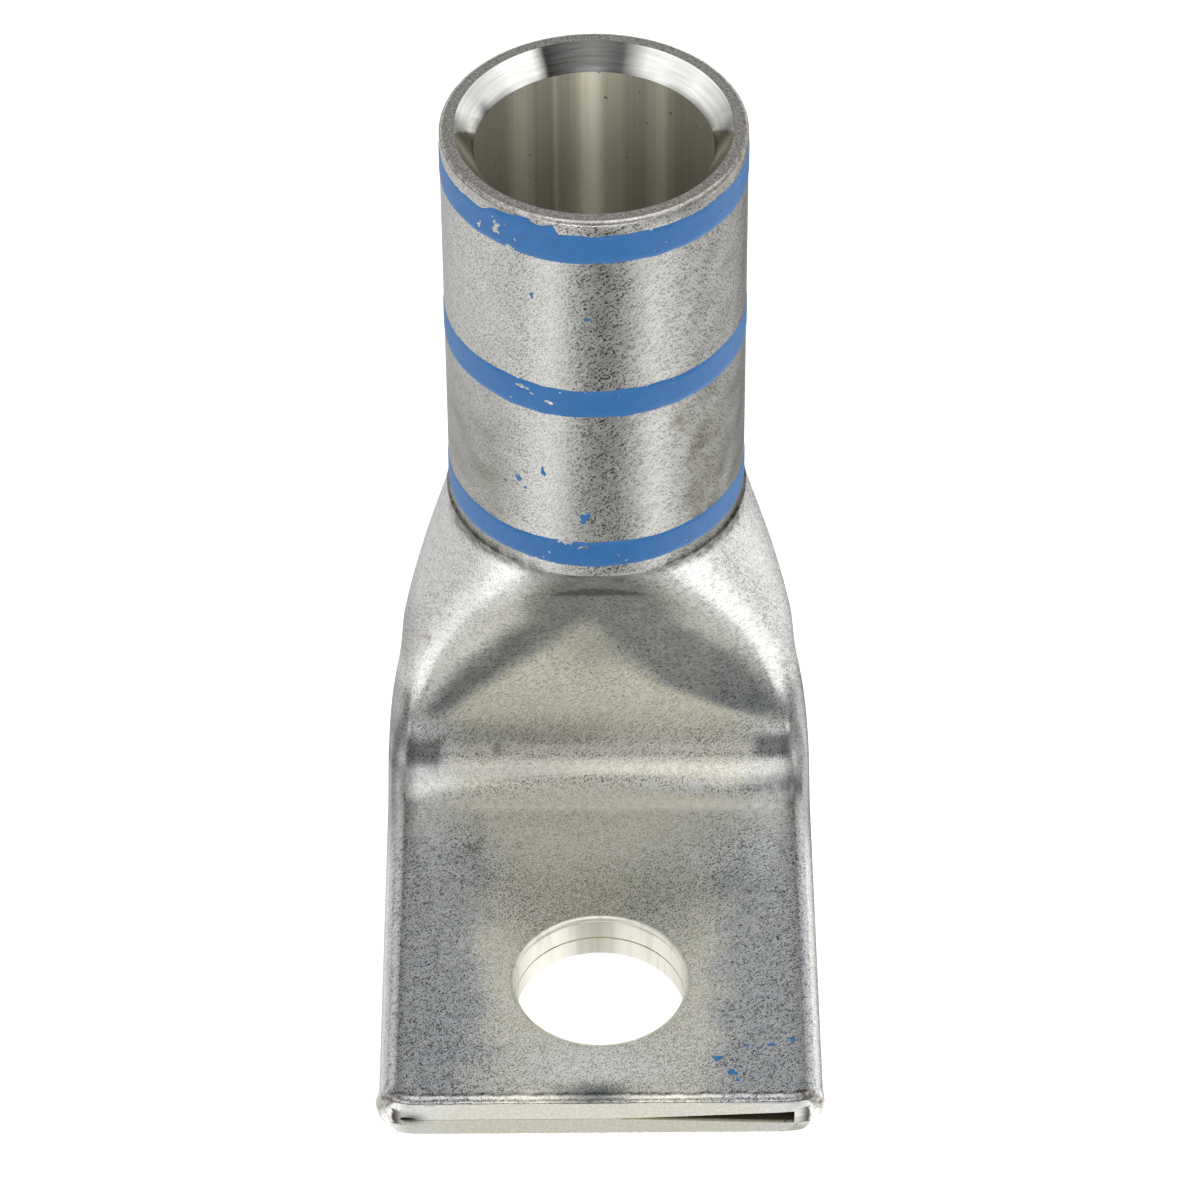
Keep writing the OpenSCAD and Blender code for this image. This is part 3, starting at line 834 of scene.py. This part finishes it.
# Ring about the barrel's axis: the cross section runs up the outside from low to high and back down inside.
# Outside radius is the barrel's plus the ink, which thins at both edges, less the sink in chips and specks.
def inkRing(name, band):
    across = np.linspace(0, 1, ink["rowsAcross"])
    azimuth = np.linspace(-np.pi, np.pi, ink["columnsAround"], endpoint=False)
    edge = np.stack([np.cos(azimuth), np.sin(azimuth), np.zeros_like(azimuth)], -1) * barrelR
    seed = band["seed"]
    low = band["low"] + band["wander"] * (wander(edge, 9, seed) + 0.5 * wander(edge, 1.6, seed + 1))
    high = band["high"] + band["wander"] * (wander(edge, 11, seed + 2) + 0.6 * wander(edge, 2, seed + 3))
    degrees = np.degrees(azimuth)
    if name == "band_mouth":
        # Smeared up towards the rim at the left of the front
        smear = ease(degrees, -46, -37) * (1 - ease(degrees, -16, -13))
        high = high + (0.75 + 0.3 * wander(edge, 2.2, 41)) * smear
        high = high + 1.0 * ease(degrees, -31, -29) * (1 - ease(degrees, -26, -24))
        high = np.minimum(high, mouthZ - 0.35)
    z = low + (high - low) * across[:, None]
    fade = np.minimum(1, 8 * np.minimum(across, 1 - across))[:, None]
    chipped = np.zeros_like(z)
    for where, chipAzimuth, chipZ, halfWidth, halfHeight in chips:
        if where == name:
            along = np.radians(degrees - chipAzimuth) * barrelR / halfWidth
            chipped = np.maximum(chipped, 1.4 - np.hypot(along, (z - chipZ) / halfHeight))
    surface = np.stack([barrelR * np.cos(azimuth) + 0 * z, barrelR * np.sin(azimuth) + 0 * z, z], -1)
    ragged = chipped + 0.5 * wander(surface, 0.45, 60 + seed)
    specks = wander(surface, 0.5, 90 + seed, 14) > 1.38
    outside = barrelR + ink["thick"] * fade - ink["sink"] * (((ragged > 0.75) & (chipped > 0)) | specks)
    inside = barrelR - ink["inset"] + 0 * z
    rows, insideRows = (np.stack([radius * np.sin(azimuth), barrelY - radius * np.cos(azimuth), z], -1)
                        for radius in (outside, inside))
    return gridMesh(name + "Ink", np.concatenate([rows, insideRows[[-2, 1]]]))


# Alkyd marking ink, rolled on thin: even blue, slightly cloudy, with a satin skin that follows the tin
inkLook = {"blue": "#327DC0", "deep": "#2A6EB2", "roughness": 0.4}
inkMaterial = bpy.data.materials.new("rolledBlueInk")
tree = emptyTree(inkMaterial)
place = millimetres(tree)
speck = grain(tree, place, 0.22, 2.0)
cloudy = weighed(tree, 0.0, (grain(tree, place, 1.3, 3.0), 0.6), (speck, 0.4))
colour = layered(tree, linear(inkLook["blue"]), linear(inkLook["deep"]), cloudy)
finishTree(tree, colour, inkLook["roughness"], speck, 0.01, 0.0, False)
for name, band in inkBands.items():
    inkPiece = addPiece(name + "Ink", inkRing(name, band))
    inkPiece.data.materials.append(inkMaterial)
    inkPiece.data.shade_smooth()
    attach(inkPiece, "root")
    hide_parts(name)

# Flecks of the same ink. On the barrel: azimuth from the front in degrees and height. On the palm: x and y.
# Then the half width, the half height and the turn in degrees.
barrelFlecks = [
    (-24, 64.7, 0.13, 0.3, 10),
    (-3, 63, 0.3, 0.1, 0),
    (-31, 44.8, 0.24, 0.3, 30),
    (-28, 44.0, 0.15, 0.13, 0),
    (-20.5, 46.3, 0.16, 0.5, 12),
    (-4.5, 41.8, 0.3, 0.62, -28),
    (-37, 43.9, 0.12, 0.12, 0),
]
palmFlecks = [
    (9.7, -9.0, 0.36, 0.26, 20),
    (10.9, -10.6, 0.42, 0.26, -20),
    (11.3, -11.4, 0.14, 0.2, 0),
    (12.2, -7.6, 0.18, 0.12, 0),
    (13.1, -7.9, 0.14, 0.1, 0),
    (14.2, -7.5, 0.3, 0.14, 10),
    (16.0, -7.0, 0.25, 0.25, 0),
]
flake = {"points": 18, "above": 0.03, "below": 0.1}


# Flake: a ring of points with a ragged outline just above the tin, and the same ring just below it. On the
# barrel both bend back with it, by the square of the way across over its diameter.
def flakeRings(centre, across, up, normal, halfWidth, halfHeight, turn, seed):
    angle = np.linspace(0, 2 * np.pi, flake["points"], endpoint=False)
    reach = 1 + 0.25 * np.sin(3 * angle + seed) + 0.2 * np.sin(5 * angle + 2.3 * seed)
    u = halfWidth * reach * np.cos(angle)
    v = halfHeight * reach * np.sin(angle)
    turn = math.radians(turn)
    u, v = u * math.cos(turn) - v * math.sin(turn), u * math.sin(turn) + v * math.cos(turn)
    ring = centre + u[:, None] * across + v[:, None] * up
    sink = (u ** 2 / (2 * barrelR))[:, None] if normal[2] == 0 else 0
    return [ring + (flake["above"] - sink) * normal, ring - (flake["below"] + sink) * normal]


xAxis, yAxis, zAxis = np.eye(3)
flakes = []
for seed, (azimuth, height, *size) in enumerate(barrelFlecks):
    turn = math.radians(azimuth)
    across = np.array([math.cos(turn), math.sin(turn), 0])
    normal = np.array([math.sin(turn), -math.cos(turn), 0])
    centre = np.array([0, barrelY, height]) + barrelR * normal
    flakes.append(flakeRings(centre, across, zAxis, normal, *size, seed))
for seed, (atX, atY, *size) in enumerate(palmFlecks):
    centre = np.array([atX, atY, lug["palmThick"]])
    flakes.append(flakeRings(centre, xAxis, yAxis, zAxis, *size, seed + 20))
flakes = np.array(flakes)
upper, lower = np.arange(flakes[..., 0].size).reshape(flakes.shape[:3]).transpose(1, 0, 2)
edges = np.stack([np.roll(lower, 1, 1), lower, upper, np.roll(upper, 1, 1)], -1).reshape(-1, 4)
fleckMesh = bpy.data.meshes.new("inkFlecks")
fleckMesh.from_pydata((flakes.reshape(-1, 3) * mm).tolist(), [],
                      upper.tolist() + lower[:, ::-1].tolist() + edges.tolist())
fleckMesh.update()
fleckMesh.materials.append(inkMaterial)
fleckPiece = addPiece("inkFlecks", fleckMesh)
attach(fleckPiece, "root")
print("ink made")

# Light table: a pale glowing sheet that the camera sees, and through which the soft light comes from below
floor = {"size": 6.0, "level": -0.0002, "colour": "#F4F4F2", "glow": 0.72}
half = floor["size"] / 2
sheet = [(a, b, floor["level"]) for a, b in [(-half, -half), (half, -half), (half, half), (-half, half)]]
floorMesh = bpy.data.meshes.new("floor")
floorMesh.from_pydata(sheet, [], [(0, 1, 2, 3)])
floorPiece = addPiece("floor", floorMesh)
floorPiece.visible_glossy = False
floorPiece.visible_diffuse = False
floorPiece.visible_shadow = False
floorMaterial = bpy.data.materials.new("glowingAcrylic")
tree = emptyTree(floorMaterial)
shader = addNode(tree, "ShaderNodeBsdfPrincipled", {"Base Color": linear(floor["colour"]), "Roughness": 0.6,
                                                    "Emission Color": linear(floor["colour"]),
                                                    "Emission Strength": floor["glow"]})
addNode(tree, "ShaderNodeOutputMaterial", {"Surface": shader})
floorMesh.materials.append(floorMaterial)

# Soft studio light all round, as belts of brightness round the lug. Each belt: elevation in degrees, then
# the azimuth from the front, right positive, and the brightness there. Softboxes stand left and right above
# the table, dark flags in front and behind, and white cards low down.
studioStrength = 1.22
studio = {
    -62: {-150: 1.1, -90: 1.3, -30: 1.3, 45: 1.7, 90: 1.7, 150: 1.2},
    -49: {-150: 0.8, -120: 0.9, -90: 1.15, -60: 1.15, -30: 0.75, 0: 0.15, 15: 0.1, 35: 0.5, 50: 1.0,
          75: 1.7, 100: 1.4, 150: 0.8, 180: 0.5},
    -39: {-120: 0.45, -75: 0.42, -60: 0.15, -45: 0.6, -32: 0.85, -15: 0.1, 0: 0.0, 15: 0.0, 27: 0.25,
          44: 0.7, 60: 0.3, 105: 0.25, 120: 0.4, 150: 0.15, 180: 0.35},
    -27: {-120: 1.0, -90: 1.0, -60: 0.2, 0: 0.05, 15: 0.05, 70: 0.3, 92: 1.4, 120: 1.3, 150: 0.2, 180: 0.5},
    -20: {-90: 0.4, -45: 0.5, -18: 1.8, 0: 2.1, 18: 1.8, 40: 0.5, 60: 0.4, 120: 0.9, 180: 0.6},
    -9: {-90: 0.2, -45: 0.6, -18: 1.9, 0: 2.1, 18: 1.8, 40: 0.6, 60: 0.3, 120: 0.8, 180: 0.6},
    -4: {-90: 0.3, -45: 0.6, -20: 0.6, 0: 0.3, 20: 0.5, 60: 0.4, 120: 0.9, 180: 0.6},
    3: {-90: 0.4, -60: 0.6, -30: 0.8, 0: 0.16, 25: 0.4, 90: 0.5, 150: 1.2, 180: 0.6},
    11: {-90: 0.7, -30: 0.7, 0: 0.2, 30: 0.5, 90: 0.6, 150: 0.9},
    19: {-160: 0.6, -90: 1.0, -30: 0.7, 0: 0.34, 30: 0.7, 105: 0.8, 150: 0.4},
    27: {-150: 0.4, -90: 0.7, -60: 1.0, -30: 0.7, 0: 0.55, 30: 0.8, 75: 1.1, 105: 0.7, 150: 0.2},
    34: {-150: 0.2, -90: 0.55, -60: 1.0, -48: 0.95, -26: 0.05, 42: 0.02, 54: 1.1, 75: 1.1, 105: 0.6,
         150: 0.0, 170: 0.15},
    47: {-157: 0.1, -135: 0.0, -112: 0.4, -60: 0.7, -22: 0.3, 0: 0.6, 45: 0.3, 75: 0.95, 112: 0.9, 157: 0.3,
         180: 0.21},
    64: {-90: 0.6, 0: 1.1, 60: 0.95, 150: 0.9, 180: 0.95},
    90: {0: 1.0},
}
studioWorld = bpy.data.worlds.new("studio")
bpy.context.scene.world = studioWorld
tree = emptyTree(studioWorld)
view = addNode(tree, "ShaderNodeTexCoord").outputs["Generated"]
way = addNode(tree, "ShaderNodeSeparateXYZ", {0: view}).outputs
forward = addNode(tree, "ShaderNodeMath", {0: way["Y"], 1: -1.0}, operation="MULTIPLY")
azimuth = addNode(tree, "ShaderNodeMath", {0: way["X"], 1: forward}, operation="ARCTAN2")
azimuthShare = weighed(tree, 0.5, (azimuth, 1 / (2 * math.pi)))
elevation = addNode(tree, "ShaderNodeMath", {0: way["Z"]}, operation="ARCSINE")
elevation = weighed(tree, 0.0, (elevation, 180 / math.pi))
sky = None
for beltHeight, belt in studio.items():
    turns = sorted(belt)
    levels = [belt[turn] for turn in turns]
    # Brightness where the belt closes behind, between its last place and its first by angle
    gap = turns[0] + 360 - turns[-1]
    behind = levels[-1] + (levels[0] - levels[-1]) * (180 - turns[-1]) / gap
    stops = [(turn / 360 + 0.5, level) for turn, level in zip(turns, levels) if turn < 180]
    stops = [(0.0, behind)] + stops + [(1.0, behind)]
    ramp = addNode(tree, "ShaderNodeValToRGB", {0: azimuthShare})
    ramp.color_ramp.interpolation = "LINEAR"
    elements = ramp.color_ramp.elements
    elements[0].position, elements[1].position = 0.0, 1.0
    for position, level in stops[1:-1]:
        elements.new(position)
    for element, (position, level) in zip(elements, stops):
        element.color = (level, level, level, 1)
    if sky is None:
        sky = ramp
    else:
        between = {0: elevation, 1: float(lastHeight), 2: float(beltHeight)}
        sky = layered(tree, sky, ramp, addNode(tree, "ShaderNodeMapRange", between, clamp=True))
    lastHeight = beltHeight
background = addNode(tree, "ShaderNodeBackground", {"Color": sky, "Strength": studioStrength})
addNode(tree, "ShaderNodeOutputWorld", {"Surface": background})
bpy.context.scene.view_settings.view_transform = "Standard"
print("studio made")

# Camera, as solved from the photograph
camera = {
    "aim": (0.2146, 20.0, 29.686),
    "distance": 468.94,
    "elevation": math.radians(42.763),
    "roll": math.radians(-0.4203),
    "lens": 167.9,
}
away = Vector((0, -math.cos(camera["elevation"]), math.sin(camera["elevation"])))
sideways = Vector((1, 0, 0))
upwards = sideways.cross(-away)
turned = math.cos(camera["roll"]) * sideways + math.sin(camera["roll"]) * upwards
upright = -math.sin(camera["roll"]) * sideways + math.cos(camera["roll"]) * upwards
cameraData = bpy.data.cameras.new("camera")
cameraData.lens = camera["lens"]
cameraData.sensor_width = 36
cameraData.clip_start = 0.02
cameraPiece = addPiece("camera", cameraData)
cameraPlace = (Vector(camera["aim"]) + camera["distance"] * away) * mm
cameraPiece.matrix_world = Matrix((
    (turned.x, upright.x, away.x, cameraPlace.x),
    (turned.y, upright.y, away.y, cameraPlace.y),
    (turned.z, upright.z, away.z, cameraPlace.z),
    (0, 0, 0, 1),
))
bpy.context.scene.camera = cameraPiece
